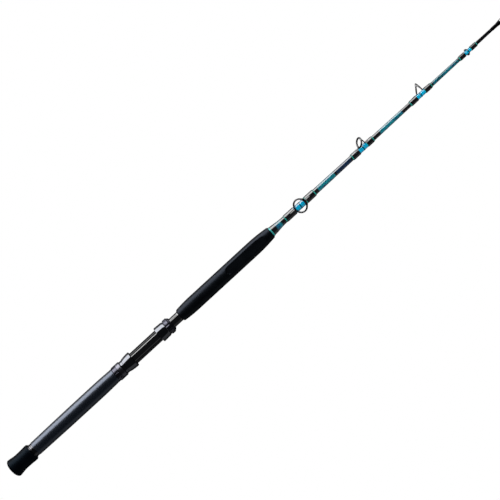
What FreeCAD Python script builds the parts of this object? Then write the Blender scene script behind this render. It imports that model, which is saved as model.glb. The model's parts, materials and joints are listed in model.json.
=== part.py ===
"""Boat fishing rod in two sections, with spiral-wrapped line guides.

Millimetres. While it is built, X is the distance from the butt end along the rod's axis
and Z is the side the reel sits on. At export everything is moved, so that the origin is
the centre of the reel-foot bed, +X runs to the tip and +Z points at the reel.
"""
import FreeCAD
import Part
import math
import os

V = FreeCAD.Vector
AXIS = V(1, 0, 0)

# Clearances
RUN = 0.05            # radial play of a running fit
GAP = 0.4             # end gap between pieces that move past each other

# Rubber butt cap
CAP_START = 3.4
CAP_FLOOR = 9.5       # inner face of the cap's closed end
CAP_FRONT = 60.0
CAP_R = 20.2          # widest band, which fits a rod holder's tube
CAP_BAND = (8.5, 12.5)
CAP_WAIST_R = 18.1
CAP_LIP_R = 18.95

# Gimbal: the metal butt end under the cap
GIMBAL_R = 15.0
GIMBAL_START = CAP_FLOOR + GAP
GIMBAL_END = 69.0
GIMBAL_BORE_R = 11.6
GIMBAL_BORE_END = 34.0
GIMBAL_SLOT_WIDTH = 8.0
GIMBAL_SLOT_DEPTH = 15.0
BEAD_START = 61.6

# Rear grip: a foam core with a shrink-fitted skin, slightly barrel shaped
GRIP_END = 292.3
GRIP_END_R = (15.6, 15.45)   # at the butt end and at the front
GRIP_MID = (215.0, 238.0)    # straight middle
GRIP_MID_R = 16.7
GRIP_SKIN = 1.0
BUTT_TUBE_R = 11.0
BUTT_TUBE_WALL = 1.6
BUTT_TUBE_START = 38.0

# Butt ferrule: flange that the union nut pulls on, and a tongue with a cross pin
FLANGE = (295.1, 299.0)
FLANGE_R = 13.6
TONGUE_R = 8.6
TONGUE_END = 345.0
TONGUE_BORE_R = 5.5
PLUG_START = 264.0
PIN_X = 338.0
PIN_R = 1.5
PIN_REACH = 10.3

# Union nut at the rear of the reel seat, with a castellated rear edge
NUT_START = 292.7
NUT_END = 313.0
NUT_R = 16.9
NUT_LIP_END = 294.7
NOTCH_END = 302.0
NOTCHES = 8
NOTCH_WIDTH = 5.2
NOTCH_DEPTH = 1.5
NOTCH_TURN = -9.0     # from the reel's side

# Reel seat barrel
SEAT_START = 299.4
SEAT_END = 470.5
STUB_R = 13.6         # threaded rear stub inside the union nut
STUB_END = 313.4
BARREL_R = 13.2
BARREL_END = 413.4    # the thick part ends here, under the moving hood
THREAD_R = 11.05
THREAD_PITCH = 2.0
THREAD_DEPTH = 0.5
SEAT_BORE_R = 8.8
SOCKET_END = 346.5
BED_Z = 9.5           # flat along the barrel that carries the pad
BED_HALF_WIDTH = 12.0

# Pad that the reel's foot rests on
PAD = (341.2, 411.6)
PAD_TOP_Z = 11.1
PAD_HALF_WIDTH = 6.9
PAD_BEVEL = (1.5, 1.0)   # width and height of the slope along each long edge

# Hoods that hold the ends of the reel's foot
FIXED_HOOD = (313.4, 340.6)
MOVING_HOOD = (412.4, 434.0)
HOOD_MOUTH_R = 17.6
HOOD_WALL = 1.1
POCKET_HALF_WIDTH = 10.6
LINER = 0.6
HOOD_BORE_R = 13.6
POCKET_DEPTH = 15.0

# Locking nut behind the moving hood
LOCK = (434.9, 448.8)
LOCK_R = 17.5
LOCK_FLUTES = 10
LOCK_FLUTE_R = 2.6
LOCK_TURN = -10.0
LOCK_WASHER = (434.0, 434.6)

# Foregrip
FORE = (470.7, 724.0)
FORE_R = 16.35
FORE_TAPER_START = 672.0
FORE_FRONT_R = 11.4
FACET = (601.0, 706.0)
FACET_HALF_WIDTH = 9.4
FACET_Z = 13.4

# Winding check and the cone in front of the foregrip
CHECK_END = 727.0
CONE_END = 762.0

# Tubular blank: distance along the rod and outer radius at the ends of its tapers
BLANK = ((348.5, 8.2), (CONE_END, 7.0), (1060.0, 5.15), (1300.0, 3.6), (1361.0, 3.15))
BLANK_WALL = 1.5
ARBORS = ((352.0, 398.0), (420.0, 468.0))

# Thread wraps, as heights above the blank
UNDER = 0.5
OVER = 1.45
TRIM = 1.1

# Guides. x: hoop centre; r: hoop's outer radius; lean: from upright towards the tip;
# turn: around the rod from the reel's side; band: middle of the dark band of thread;
# butt_wrap, tip_wrap: the thread over each foot.
GUIDES = (
    dict(x=803.8, r=16.3, lean=57.0, turn=2.0, band=805.0,
         butt_wrap=(764.6, 790.0), tip_wrap=(821.6, 843.0)),
    dict(x=979.6, r=11.6, lean=44.0, turn=-52.5, band=979.7,
         butt_wrap=(951.0, 969.0), tip_wrap=(991.0, 1006.0)),
    dict(x=1142.2, r=11.3, lean=36.8, turn=-105.0, band=1140.2,
         butt_wrap=(1113.0, 1130.5), tip_wrap=(1152.5, 1168.0)),
    dict(x=1271.8, r=7.7, lean=40.0, turn=180.0, band=1272.0,
         butt_wrap=(1249.4, 1263.4), tip_wrap=(1279.8, 1293.5)),
)
HOOP_WALL = 1.5       # radial thickness of the frame's hoop
HOOP_HALF = 1.2       # half its width along its own axis
RING_WALL = 2.1       # radial thickness of the ceramic ring
SMALL_RING_WALL = 1.6
RING_HALF = 1.6
FOOT_HEIGHT = 1.2
FOOT_HALF_WIDTH = 1.5
NECK = 1.2            # rise of the foot under the hoop
HOOP_SINK = 0.7       # how far the hoop's low side is let into the neck
HIP = 35.0            # where a leg meets the hoop, in degrees from the hoop's high side
ANKLE_BACK = 1.9      # from a leg's lower end to the start of the tip wrap
LEG_RADII = (0.85, 1.25)   # at the hoop and at the lower end
TRIM_WIDTH = 2.0
BAND_WIDTH = 2.4

# Tip-top
TIP_TUBE = (1338.0, 1361.5)
TIP_TUBE_R = 3.8
TIP_RING_X = 1370.5
TIP_RING_DROP = 8.8
TIP_RING_R = 5.7
TIP_RING_LEAN = 14.0
TIP_HOOP_WALL = 1.2
TIP_RING_WALL = 1.4

ORIGIN = V((PAD[0] + PAD[1]) / 2, 0, PAD_TOP_Z)


def turned(*steps):
    """Solid turned about the rod's axis.

    A step is (x, radius), or (x, radius, x, radius) for an arc through the first pair that
    ends at the second. The outline closes on its first step.
    """
    edges = []
    here = steps[0]
    for step in steps[1:] + (steps[0],):
        start = V(here[-2], 0, here[-1])
        end = V(step[-2], 0, step[-1])
        if len(step) == 4:
            edges.append(Part.Arc(start, V(step[0], 0, step[1]), end).toShape())
        elif start.distanceToPoint(end) > 1e-6:
            edges.append(Part.makeLine(start, end))
        here = step
    return Part.Face(Part.Wire(edges)).revolve(V(0, 0, 0), AXIS, 360)


def level(start, end, flat_at_end):
    """Middle point of the arc between two steps that runs level at one of them."""
    (x0, r0), (x1, r1) = (start, end) if flat_at_end else (end, start)
    drop = r1 - r0
    run = abs(x1 - x0)
    bend = (run * run + drop * drop) / (2 * drop)
    half = run / 2
    sag = abs(bend) - math.sqrt(bend * bend - half * half)
    return ((x0 + x1) / 2, r1 - math.copysign(sag, drop))


def disc(x0, x1, radius):
    """Solid cylinder on the rod's axis."""
    return Part.makeCylinder(radius, x1 - x0, V(x0, 0, 0), AXIS)


def tube(x0, x1, outer, inner):
    """Straight tube on the rod's axis."""
    return disc(x0, x1, outer).cut(disc(x0, x1, inner))


def block(x, y, z):
    """Box between the two ends given for each axis."""
    return Part.makeBox(x[1] - x[0], y[1] - y[0], z[1] - z[0], V(x[0], y[0], z[0]))


def around(shape, count):
    """The shape repeated evenly around the rod's axis."""
    copies = []
    for i in range(count):
        copy = shape.copy()
        copy.rotate(V(0, 0, 0), AXIS, 360.0 * i / count)
        copies.append(copy)
    return copies


def blank_radius(x):
    """Outer radius of the blank at x."""
    for (x0, r0), (x1, r1) in zip(BLANK, BLANK[1:]):
        if x <= x1:
            return r0 + (r1 - r0) * (x - x0) / (x1 - x0)
    return BLANK[-1][1]


def core(x0, x1, height=0.0):
    """Solid that fills the blank between x0 and x1, grown by height."""
    stops = [x0] + [x for x, _ in BLANK if x0 < x < x1] + [x1]
    outline = [(x, blank_radius(x) + height) for x in stops]
    return turned((x0, 0), *outline, (x1, 0))


def sleeve(x0, x1, low, high, ease=0.35):
    """Wrap around the blank between two heights above it, with eased outer edges."""
    body = turned(
        (x0, 0), (x0, blank_radius(x0) + high - ease), (x0 + ease, blank_radius(x0 + ease) + high),
        (x1 - ease, blank_radius(x1 - ease) + high), (x1, blank_radius(x1) + high - ease), (x1, 0))
    return body.cut(core(x0, x1, low))


def thread_grooves(x0, x1, radius, pitch, depth):
    """Ring grooves that stand for a screw thread."""
    rings = []
    for i in range(int((x1 - x0) / pitch)):
        x = x0 + pitch * (i + 0.5)
        half = pitch * 0.3
        rings.append(turned(
            (x - half, radius + 0.2), (x, radius - depth), (x + half, radius + 0.2)))
    return rings


def strut(a, b, ra, rb):
    """Tapered round bar with ball ends."""
    bar = Part.makeCone(ra, rb, (b - a).Length, a, b - a)
    return bar.fuse([Part.makeSphere(ra, a), Part.makeSphere(rb, b)])


def oblong(x0, x1, half_width, z0, z1):
    """Upright prism with an oblong outline."""
    middle = block((x0 + half_width, x1 - half_width), (-half_width, half_width), (z0, z1))
    ends = [Part.makeCylinder(half_width, z1 - z0, V(x, 0, z0))
            for x in (x0 + half_width, x1 - half_width)]
    return middle.fuse(ends).removeSplitter()


def hood_pocket(mouth, end, mouth_r, end_r):
    """Space for an end of the reel's foot, under a hood's roof."""
    low = min(mouth, end)
    high = max(mouth, end)
    if mouth < end:
        envelope = turned((low, 0), (low, mouth_r), (high, end_r), (high, 0))
    else:
        envelope = turned((low, 0), (low, end_r), (high, mouth_r), (high, 0))
    space = block((low, high), (-POCKET_HALF_WIDTH, POCKET_HALF_WIDTH), (4.0, 30.0))
    return envelope.common(space)


def leaned(shape, centre, lean):
    """A hoop turned about X, leaned towards the tip and moved to its centre."""
    shape.rotate(V(0, 0, 0), V(0, 1, 0), lean)
    shape.translate(centre)
    return shape


def hoop(radius, wall, half, lean, centre):
    """Metal hoop that holds a ceramic ring."""
    seat = radius - wall
    return leaned(turned(
        (-half, seat), (-half, radius - 0.6), (0, radius, half, radius - 0.6), (half, seat)),
        centre, lean)


def ceramic(radius, wall, half, lean, centre):
    """Ceramic ring with rounded edges and a short straight bore."""
    inner = radius - wall
    mid = (radius + inner) / 2
    return leaned(turned(
        (-half + 0.6, radius), (-half, mid + 0.25), (-half, mid - 0.25),
        (-half + 0.3, inner + 0.25, -half + 0.9, inner), (half - 0.9, inner),
        (half - 0.3, inner + 0.25, half, mid - 0.25), (half, mid + 0.25), (half - 0.6, radius)),
        centre, lean)


def foot(*sections):
    """Foot that lies on the underwrap. A section is (x, height, half width)."""
    wires = []
    for x, height, half_width in sections:
        base = blank_radius(x) + UNDER
        corners = [V(x, -half_width, base - 1.2), V(x, half_width, base - 1.2),
                   V(x, half_width, base + height), V(x, -half_width, base + height)]
        wires.append(Part.makePolygon(corners + corners[:1]))
    return Part.makeLoft(wires, True, True)


def wrap_over(x0, x1, foot_end):
    """Thread wrap over a foot: a sleeve with a ridge where the foot lies under it."""
    ridge_r = 2.9
    low = max(x0, foot_end) if foot_end < (x0 + x1) / 2 else x0
    high = min(x1, foot_end) if foot_end > (x0 + x1) / 2 else x1
    top0 = blank_radius(low) + UNDER + FOOT_HEIGHT + 0.45 - ridge_r
    top1 = blank_radius(high) + UNDER + FOOT_HEIGHT + 0.45 - ridge_r
    a = V(low, 0, top0)
    b = V(high, 0, top1)
    ridge = Part.makeCylinder(ridge_r, (b - a).Length, a, b - a)
    blunt = a if foot_end < (x0 + x1) / 2 else b
    ridge = ridge.fuse(Part.makeSphere(ridge_r, blunt))
    ridge = ridge.common(block((x0, x1), (-20, 20), (0, 40)))
    return sleeve(x0, x1, UNDER, OVER, 0.8).fuse(ridge).cut(core(x0 - 1, x1 + 1, UNDER))


def without_crumbs(shape, least=5.0):
    """The shape's solids of at least that many cubic millimetres."""
    return Part.Compound([solid for solid in shape.Solids if solid.Volume > least])


def grip(inset, ease):
    """Solid of the rear grip, inset from its surface, with its ends eased."""
    butt = (GIMBAL_END + ease, GRIP_END_R[0] - inset)
    front = (GRIP_END - ease, GRIP_END_R[1] - inset)
    rise = (GRIP_MID[0], GRIP_MID_R - inset)
    fall = (GRIP_MID[1], GRIP_MID_R - inset)
    return turned(
        (GIMBAL_END, 0), (GIMBAL_END, butt[1] - ease), butt, level(butt, rise, True) + rise,
        fall, level(fall, front, False) + front, (GRIP_END, front[1] - ease), (GRIP_END, 0))


parts = {}

# --- Butt section ---------------------------------------------------------------------
parts["butt_cap"] = turned(
    (CAP_START, 0), (CAP_START + 0.3, 12.2), (CAP_START + 1.8, 17.0, CAP_BAND[0], CAP_R),
    (CAP_BAND[1], CAP_R), (20.0, 18.95, 31.0, CAP_WAIST_R), (43.0, 18.35, 53.0, CAP_LIP_R),
    (CAP_FRONT - 2.6, CAP_LIP_R), (CAP_FRONT, 17.2), (CAP_FRONT, GIMBAL_R + RUN),
    (CAP_FLOOR, GIMBAL_R + RUN), (CAP_FLOOR, 0))

gimbal = turned(
    (GIMBAL_START, 0), (GIMBAL_START, GIMBAL_R - 0.8), (GIMBAL_START + 0.8, GIMBAL_R),
    (BEAD_START - 0.6, GIMBAL_R), (BEAD_START, GIMBAL_R - 0.6),
    (BEAD_START + 1.8, GIMBAL_R + 0.1, BEAD_START + 3.6, GIMBAL_R - 0.6),
    (BEAD_START + 5.4, GIMBAL_R + 0.1, GIMBAL_END - 0.3, GIMBAL_R - 0.6), (GIMBAL_END, GIMBAL_R - 0.6),
    (GIMBAL_END, 0))
gimbal = gimbal.cut([
    disc(GIMBAL_START - 1, GIMBAL_BORE_END, GIMBAL_BORE_R),
    disc(BUTT_TUBE_START, GIMBAL_END + 1, BUTT_TUBE_R)])
half = GIMBAL_SLOT_WIDTH / 2
slot = block((GIMBAL_START - 1, GIMBAL_START + GIMBAL_SLOT_DEPTH), (-half, half), (-30, 30))
parts["gimbal"] = gimbal.cut([slot, around(slot, 4)[1]])

parts["butt_tube"] = tube(
    BUTT_TUBE_START, FLANGE[0], BUTT_TUBE_R, BUTT_TUBE_R - BUTT_TUBE_WALL)

grip_core = grip(GRIP_SKIN, 0)
parts["rear_grip_core"] = grip_core.cut(disc(GIMBAL_END - 1, GRIP_END + 1, BUTT_TUBE_R))
parts["rear_grip_sleeve"] = grip(0, 0.6).cut(grip_core)

ferrule = turned(
    (PLUG_START, TONGUE_BORE_R), (PLUG_START, BUTT_TUBE_R - BUTT_TUBE_WALL),
    (FLANGE[0], BUTT_TUBE_R - BUTT_TUBE_WALL), (FLANGE[0], FLANGE_R), (FLANGE[1], FLANGE_R),
    (FLANGE[1], TONGUE_R), (TONGUE_END - 1, TONGUE_R), (TONGUE_END, TONGUE_R - 1),
    (TONGUE_END, TONGUE_BORE_R))
pin = Part.makeCylinder(PIN_R, 2 * PIN_REACH, V(PIN_X, -PIN_REACH, 0), V(0, 1, 0))
parts["butt_ferrule"] = ferrule.cut(pin)
parts["ferrule_pin"] = pin

union_nut = turned(
    (NUT_START, BUTT_TUBE_R + RUN), (NUT_START, NUT_R - 0.8), (NUT_START + 0.8, NUT_R),
    (NOTCH_END + 0.8, NUT_R), (NOTCH_END + 1.2, NUT_R - 0.5), (NOTCH_END + 1.6, NUT_R),
    (NUT_END - 1.6, NUT_R), (NUT_END, NUT_R - 1.7), (NUT_END, FLANGE_R + RUN),
    (NUT_LIP_END, FLANGE_R + RUN), (NUT_LIP_END, BUTT_TUBE_R + RUN))
half = NOTCH_WIDTH / 2
notch = block((NUT_START - 1, NOTCH_END), (-half, half), (NUT_R - NOTCH_DEPTH, NUT_R + 5))
notch.rotate(V(0, 0, 0), AXIS, NOTCH_TURN)
parts["butt_nut"] = union_nut.cut(around(notch, NOTCHES))

# --- Reel seat ------------------------------------------------------------------------
barrel = turned(
    (SEAT_START, 0), (SEAT_START, STUB_R - 0.6), (SEAT_START + 0.6, STUB_R), (STUB_END, STUB_R),
    (STUB_END, BARREL_R), (BARREL_END - 0.8, BARREL_R), (BARREL_END, BARREL_R - 0.8),
    (BARREL_END, THREAD_R), (SEAT_END - 0.5, THREAD_R), (SEAT_END, THREAD_R - 0.5), (SEAT_END, 0))
barrel = barrel.cut([
    disc(SEAT_START - 1, SOCKET_END, TONGUE_R + RUN),
    disc(SOCKET_END - 1, SEAT_END + 1, SEAT_BORE_R)])
reach = PIN_REACH + GAP
half = PIN_R + RUN
key_slot = block((SEAT_START - 1, PIN_X + 3), (-reach, reach), (-half, half))
bed = block(
    (FIXED_HOOD[1] - POCKET_DEPTH, BARREL_END), (-BED_HALF_WIDTH, BED_HALF_WIDTH),
    (BED_Z, 30))
barrel = barrel.cut([key_slot, bed])
barrel = barrel.cut(thread_grooves(
    SEAT_START + 1, STUB_END - 2, STUB_R, THREAD_PITCH, THREAD_DEPTH))
barrel = barrel.cut(thread_grooves(
    BARREL_END + 4, SEAT_END - 2, THREAD_R, THREAD_PITCH, THREAD_DEPTH))
parts["seat_barrel"] = barrel

pad_section = [
    V(PAD[0], -PAD_HALF_WIDTH, BED_Z), V(PAD[0], PAD_HALF_WIDTH, BED_Z),
    V(PAD[0], PAD_HALF_WIDTH, PAD_TOP_Z - PAD_BEVEL[1]),
    V(PAD[0], PAD_HALF_WIDTH - PAD_BEVEL[0], PAD_TOP_Z),
    V(PAD[0], PAD_BEVEL[0] - PAD_HALF_WIDTH, PAD_TOP_Z),
    V(PAD[0], -PAD_HALF_WIDTH, PAD_TOP_Z - PAD_BEVEL[1])]
pad_face = Part.Face(Part.makePolygon(pad_section + pad_section[:1]))
parts["reel_foot_pad"] = pad_face.extrude(V(PAD[1] - PAD[0], 0, 0))

hood = turned(
    (FIXED_HOOD[0], BARREL_R), (FIXED_HOOD[0], 14.4), (FIXED_HOOD[0] + 0.5, 14.9),
    (FIXED_HOOD[0] + 5.6, 14.9), (FIXED_HOOD[0] + 6.4, 15.5),
    (FIXED_HOOD[0] + 15.0, 17.0, FIXED_HOOD[1] - 2.0, HOOD_MOUTH_R),
    (FIXED_HOOD[1] - 0.4, HOOD_MOUTH_R), (FIXED_HOOD[1], HOOD_MOUTH_R - 0.4),
    (FIXED_HOOD[1], BARREL_R))
mouth_r = HOOD_MOUTH_R - HOOD_WALL
pocket = hood_pocket(FIXED_HOOD[1], FIXED_HOOD[1] - POCKET_DEPTH, mouth_r, mouth_r - 1.8)
inner = hood_pocket(
    FIXED_HOOD[1], FIXED_HOOD[1] - POCKET_DEPTH, mouth_r - LINER, mouth_r - 1.8 - LINER)
parts["fixed_hood"] = hood.cut(pocket)
roof = block((0, 2000), (-POCKET_HALF_WIDTH + 0.2, POCKET_HALF_WIDTH - 0.2), (10.5, 30))
parts["fixed_hood_liner"] = pocket.cut(inner).common(roof)

hood = turned(
    (MOVING_HOOD[0], THREAD_R + RUN), (MOVING_HOOD[0], HOOD_MOUTH_R - 0.4),
    (MOVING_HOOD[0] + 0.4, HOOD_MOUTH_R), (MOVING_HOOD[0] + 3.0, HOOD_MOUTH_R),
    (MOVING_HOOD[0] + 14.0, 17.0), (MOVING_HOOD[1] - 3.0, 16.5, MOVING_HOOD[1], 15.1),
    (MOVING_HOOD[1], THREAD_R + RUN))
pocket = hood_pocket(MOVING_HOOD[0], MOVING_HOOD[0] + POCKET_DEPTH, mouth_r, mouth_r - 0.8)
inner = hood_pocket(
    MOVING_HOOD[0], MOVING_HOOD[0] + POCKET_DEPTH, mouth_r - LINER, mouth_r - 0.8 - LINER)
cup = disc(MOVING_HOOD[0] - 1, MOVING_HOOD[0] + POCKET_DEPTH, HOOD_BORE_R)
parts["moving_hood"] = hood.cut([pocket, cup])
roof = block((0, 2000), (-POCKET_HALF_WIDTH + 0.2, POCKET_HALF_WIDTH - 0.2), (12.0, 30))
parts["moving_hood_liner"] = pocket.cut(inner).common(roof)
parts["lock_washer"] = tube(LOCK_WASHER[0], LOCK_WASHER[1], 15.0, THREAD_R + RUN)

lock_nut = turned(
    (LOCK[0], THREAD_R + RUN), (LOCK[0], LOCK_R - 0.8), (LOCK[0] + 0.8, LOCK_R),
    (LOCK[0] + 8.4, LOCK_R), (LOCK[0] + 9.2, LOCK_R - 0.9), (LOCK[1] - 1.0, LOCK_R - 4.0),
    (LOCK[1], LOCK_R - 5.2), (LOCK[1], THREAD_R + RUN))
reach = LOCK_R + LOCK_FLUTE_R - 0.9
flute = Part.makeCylinder(LOCK_FLUTE_R, 8.0, V(LOCK[0] - 1, 0, reach), AXIS)
flute = flute.fuse(Part.makeSphere(LOCK_FLUTE_R, V(LOCK[0] + 7.0, 0, reach)))
flute.rotate(V(0, 0, 0), AXIS, LOCK_TURN)
parts["lock_nut"] = lock_nut.cut(around(flute, LOCK_FLUTES))

# --- Blank, foregrip and cone ---------------------------------------------------------
start = BLANK[0][0]
end = BLANK[-1][0]
hollow = turned(
    (start, 0), *[(x, r - BLANK_WALL) for x, r in BLANK], (end, 0))
parts["blank"] = core(start, end).cut(hollow)

for name, (x0, x1) in zip(("seat_arbor_rear", "seat_arbor_front"), ARBORS):
    parts[name] = disc(x0, x1, SEAT_BORE_R).cut(core(x0, x1))

crown = (510.0, FORE_R)
shoulder = (474.0, 14.3)
brow = (FORE_TAPER_START, FORE_R)
nose = (721.5, 13.15)
fore = turned(
    (FORE[0], 0), (FORE[0], 11.9), (471.9, 13.45) + shoulder, level(shoulder, crown, True) + crown,
    brow, level(brow, nose, False) + nose, (723.2, 12.5, FORE[1], FORE_FRONT_R), (FORE[1], 0))
facet = oblong(FACET[0], FACET[1], FACET_HALF_WIDTH, FACET_Z, FACET_Z + 20)
parts["foregrip"] = fore.cut([core(FORE[0] - 1, FORE[1] + 1), facet])

parts["winding_check"] = turned(
    (FORE[1], 0), (FORE[1], 11.1), (FORE[1] + 0.8, 11.1), (CHECK_END, 10.5), (CHECK_END, 0)
).cut(core(FORE[1] - 1, CHECK_END + 1))
parts["front_cone"] = turned(
    (CHECK_END, 0), (CHECK_END, 10.2), (733.5, 9.85, 739.0, 9.2),
    (749.0, 8.05, CONE_END - 0.5, 7.4), (CONE_END, 7.25), (CONE_END, 0)
).cut(core(CHECK_END - 1, CONE_END))

# --- Line guides ----------------------------------------------------------------------

for number, g in enumerate(GUIDES, 1):
    lean = math.radians(g["lean"])
    up = V(math.sin(lean), 0, math.cos(lean))
    low_x = g["x"] - g["r"] * up.x
    low_z = blank_radius(low_x) + UNDER + FOOT_HEIGHT + NECK - HOOP_SINK
    centre = V(g["x"], 0, low_z + g["r"] * up.z)
    band = hoop(g["r"], HOOP_WALL, HOOP_HALF, g["lean"], centre)
    ring_r = g["r"] - HOOP_WALL
    ring_wall = RING_WALL if ring_r > 7 else SMALL_RING_WALL
    b0, b1 = g["butt_wrap"]
    t0, t1 = g["tip_wrap"]
    butt_foot = foot(
        (b0 + 3.0, 0.45, 0.8), (min(b1, low_x - 1.5), FOOT_HEIGHT, FOOT_HALF_WIDTH),
        (low_x + 1.2, FOOT_HEIGHT + NECK, FOOT_HALF_WIDTH))
    tip_foot = foot((t0 - 2.4, FOOT_HEIGHT, FOOT_HALF_WIDTH), (t1 - 3.0, 0.45, 0.8))
    ankle = V(t0 - ANKLE_BACK, 0, blank_radius(t0) + UNDER + 0.9)
    forward = V(up.z, 0, -up.x)
    hip_up = math.cos(math.radians(HIP)) * (g["r"] - 0.5)
    hip_out = math.sin(math.radians(HIP)) * (g["r"] - 0.5)
    legs = []
    for side in (-1, 1):
        hip = centre + up * hip_up + V(0, side * hip_out, 0) + forward * 0.8
        legs.append(strut(hip, ankle + V(0, side * 0.9, 0), *LEG_RADII))
    frame = band.fuse([butt_foot, tip_foot] + legs)
    frame = frame.cut([
        core(b0 - 5, t1 + 5, UNDER),
        leaned(disc(-RING_HALF, RING_HALF, ring_r), centre, g["lean"])])
    wraps = (wrap_over(b0, b1, b0 + 3.0), wrap_over(t0, t1, t1 - 3.0))
    rings = [
        sleeve(b0 - TRIM_WIDTH, b0, 0, TRIM, 0.3), sleeve(t0 - 2.6, t0, UNDER, OVER - 0.15, 0.2),
        sleeve(t1, t1 + TRIM_WIDTH, 0, TRIM, 0.3)]
    half = BAND_WIDTH / 2
    name = "guide_%d_" % number
    made = {
        name + "frame": frame,
        name + "ring": ceramic(ring_r, ring_wall, RING_HALF, g["lean"], centre),
        name + "underwrap": sleeve(b0, t1, 0, UNDER, 0.2),
        name + "butt_wrap": wraps[0].cut(frame),
        name + "tip_wrap": wraps[1].cut(frame),
        name + "trim": without_crumbs(rings[0].fuse(rings[1:]).cut(frame)),
        name + "band": sleeve(g["band"] - half, g["band"] + half, UNDER, UNDER + 0.3, 0.1),
    }
    for key, shape in made.items():
        shape.rotate(V(0, 0, 0), AXIS, g["turn"])
        parts[key] = shape

# --- Tip-top --------------------------------------------------------------------------
sleeve_part = turned(
    (TIP_TUBE[0], 0), (TIP_TUBE[0], TIP_TUBE_R - 0.3), (TIP_TUBE[0] + 0.5, TIP_TUBE_R),
    (TIP_TUBE[1] - 0.4, TIP_TUBE_R), (TIP_TUBE[1], TIP_TUBE_R - 0.4), (TIP_TUBE[1], 0))
parts["tip_tube"] = sleeve_part.cut(core(TIP_TUBE[0] - 1, BLANK[-1][0]))
centre = V(TIP_RING_X, 0, TIP_RING_DROP)
lean = math.radians(TIP_RING_LEAN)
up = V(math.sin(lean), 0, math.cos(lean))
band = hoop(TIP_RING_R, TIP_HOOP_WALL, 1.1, TIP_RING_LEAN, centre)
shank_low = V(TIP_TUBE[1] - 8.0, 0, TIP_TUBE_R + 0.2)
low = centre - up * (TIP_RING_R - 0.5)
bars = [strut(shank_low, low, 0.8, 0.7)]
for side in (-1, 1):
    hip = centre + V(0, side * (TIP_RING_R - 0.5), 0)
    bars.append(strut(V(TIP_TUBE[1] - 14.0, side * 2.4, TIP_TUBE_R - 0.4), hip, 0.75, 0.65))
frame = band.fuse(bars).cut([
    disc(TIP_TUBE[0] - 1, TIP_TUBE[1] + 0.3, TIP_TUBE_R),
    leaned(disc(-1.5, 1.5, TIP_RING_R - TIP_HOOP_WALL), centre, TIP_RING_LEAN)])
ring = ceramic(TIP_RING_R - TIP_HOOP_WALL, TIP_RING_WALL, 1.5, TIP_RING_LEAN, centre)
for key, shape in (("tip_frame", frame), ("tip_ring", ring)):
    shape.rotate(V(0, 0, 0), AXIS, 180)
    parts[key] = shape

os.makedirs("parts", exist_ok=True)
for name, shape in parts.items():
    shape.translate(ORIGIN * -1)
    shape.exportStep("parts/%s.step" % name)
    print("%-20s solids %d valid %s volume %.0f" % (
        name, len(shape.Solids), shape.isValid(), shape.Volume))
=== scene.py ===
import json
import math

import bmesh
import bpy
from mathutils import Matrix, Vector


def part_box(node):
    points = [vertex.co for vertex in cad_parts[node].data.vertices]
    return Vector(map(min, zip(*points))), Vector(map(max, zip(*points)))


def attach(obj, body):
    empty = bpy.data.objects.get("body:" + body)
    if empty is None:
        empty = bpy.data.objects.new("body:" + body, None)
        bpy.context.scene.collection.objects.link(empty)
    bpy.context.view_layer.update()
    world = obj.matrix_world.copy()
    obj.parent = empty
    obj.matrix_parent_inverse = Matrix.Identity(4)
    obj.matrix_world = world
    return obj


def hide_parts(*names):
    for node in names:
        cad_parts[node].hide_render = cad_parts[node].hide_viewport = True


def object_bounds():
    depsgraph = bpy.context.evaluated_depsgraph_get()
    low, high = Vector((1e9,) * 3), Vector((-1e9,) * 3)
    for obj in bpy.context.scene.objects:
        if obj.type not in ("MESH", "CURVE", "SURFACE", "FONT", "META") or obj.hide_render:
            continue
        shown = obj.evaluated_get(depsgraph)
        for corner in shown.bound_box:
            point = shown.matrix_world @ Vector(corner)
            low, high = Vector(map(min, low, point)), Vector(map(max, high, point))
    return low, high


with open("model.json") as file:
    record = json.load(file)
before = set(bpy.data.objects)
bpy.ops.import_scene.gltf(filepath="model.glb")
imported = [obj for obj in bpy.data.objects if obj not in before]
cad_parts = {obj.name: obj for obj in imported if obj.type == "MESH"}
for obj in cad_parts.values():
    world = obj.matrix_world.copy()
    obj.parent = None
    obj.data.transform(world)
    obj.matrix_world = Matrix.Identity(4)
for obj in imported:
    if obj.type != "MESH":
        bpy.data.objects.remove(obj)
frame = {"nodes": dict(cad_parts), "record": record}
cad_lo, cad_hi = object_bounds()

# --- Places, all from the frame. Stations along the rod are in mm from the butt end. ---
MM = 0.001
BUTT_AHEAD = 3.4      # the stations start this far behind the cap
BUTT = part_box("butt_cap")[0].x - BUTT_AHEAD * MM
nut_lo, nut_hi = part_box("butt_nut")
AXIS_Y = (nut_lo.y + nut_hi.y) / 2
AXIS_Z = (nut_lo.z + nut_hi.z) / 2


def station(node):
    """First and last station of a CAD node, in mm from the butt end."""
    lo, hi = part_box(node)
    return (lo.x - BUTT) / MM, (hi.x - BUTT) / MM


def reach(node):
    """Half the width of a CAD node across the rod, in mm."""
    lo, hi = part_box(node)
    return (hi.y - lo.y) / 2 / MM


def spot(s, r, angle):
    """Point at station s, r mm from the axis, turned by angle from +Z towards -Y."""
    return Vector((BUTT + s * MM, AXIS_Y - r * MM * math.sin(angle),
                   AXIS_Z + r * MM * math.cos(angle)))


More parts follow.
